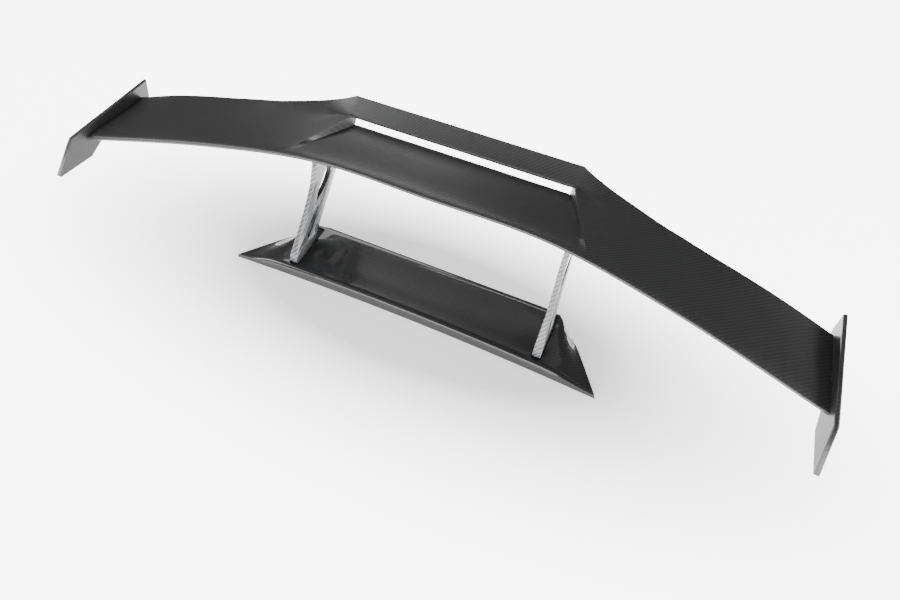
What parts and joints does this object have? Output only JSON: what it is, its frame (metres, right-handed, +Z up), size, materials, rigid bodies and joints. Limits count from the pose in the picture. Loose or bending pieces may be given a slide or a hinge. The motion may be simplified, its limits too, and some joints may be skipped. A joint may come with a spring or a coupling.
{
  "type": "racing rear wing",
  "caption": "Gull shaped carbon rear wing with a slotted middle, angled end plates and two swept pylons on a deck base panel; the blade's incidence adjusts on hinge brackets",
  "frame": {"origin": "Middle of the base panel's underside, on the mounting tape that rests on the vehicle's rear deck", "axes": "+X is the vehicle's left, +Y rearward along the air flow, +Z up away from the deck"},
  "size_m": [1.618, 0.3837, 0.3571],
  "materials": {
    "satin_carbon": "satin lacquered fine twill carbon fibre",
    "pylon_carbon": "silvery satin lacquered twill carbon fibre",
    "gloss_carbon": "deep gloss lacquered twill carbon fibre",
    "raw_carbon": "uncoated carbon laminate as moulded",
    "foam_core": "closed cell structural foam",
    "black_alloy": "machined and black anodised",
    "steel": "zinc plated fastener steel",
    "gasket_rubber": "matte moulded rubber",
    "tape": "closed cell foam mounting tape"
  },
  "bodies": {
    "stand": {"base_panel_skin": "gloss_carbon", "base_panel_floor": "raw_carbon", "base_panel_stiffener": "raw_carbon", "mounting_tape": "tape", "left_mount_block": "black_alloy", "right_mount_block": "black_alloy", "left_foot_gasket": "gasket_rubber", "right_foot_gasket": "gasket_rubber", "left_foot_insert_front": "steel", "left_foot_insert_rear": "steel", "right_foot_insert_front": "steel", "right_foot_insert_rear": "steel", "left_foot_bolt_front": "steel", "left_foot_bolt_rear": "steel", "right_foot_bolt_front": "steel", "right_foot_bolt_rear": "steel", "left_pylon": "pylon_carbon", "right_pylon": "pylon_carbon", "left_pivot_bolt": "steel", "right_pivot_bolt": "steel", "left_pivot_nut": "steel", "right_pivot_nut": "steel", "left_adjuster_bolt": "steel", "right_adjuster_bolt": "steel", "left_adjuster_nut": "steel", "right_adjuster_nut": "steel"},
    "blade": {"blade_upper_skin": "satin_carbon", "blade_lower_skin": "satin_carbon", "front_spar": "raw_carbon", "rear_spar": "raw_carbon", "centre_rib": "raw_carbon", "left_inner_rib": "raw_carbon", "right_inner_rib": "raw_carbon", "left_outer_rib": "raw_carbon", "right_outer_rib": "raw_carbon", "second_element_core": "foam_core", "left_hardpoint": "black_alloy", "right_hardpoint": "black_alloy", "left_hinge_bracket": "black_alloy", "right_hinge_bracket": "black_alloy", "left_bracket_screw_1": "steel", "left_bracket_screw_2": "steel", "left_bracket_screw_3": "steel", "left_bracket_screw_4": "steel", "right_bracket_screw_1": "steel", "right_bracket_screw_2": "steel", "right_bracket_screw_3": "steel", "right_bracket_screw_4": "steel", "left_end_plate": "satin_carbon", "right_end_plate": "satin_carbon", "left_end_rib": "black_alloy", "right_end_rib": "black_alloy", "left_end_plate_screw_1": "steel", "left_end_plate_screw_2": "steel", "left_end_plate_screw_3": "steel", "right_end_plate_screw_1": "steel", "right_end_plate_screw_2": "steel", "right_end_plate_screw_3": "steel"}
  },
  "joints": [
    {"name": "blade_incidence", "type": "hinge", "parent": "stand", "child": "blade", "pos_m": [0, 0.084, 0.261], "axis": [1, 0, 0], "range_deg": [-4, 8]}
  ]
}
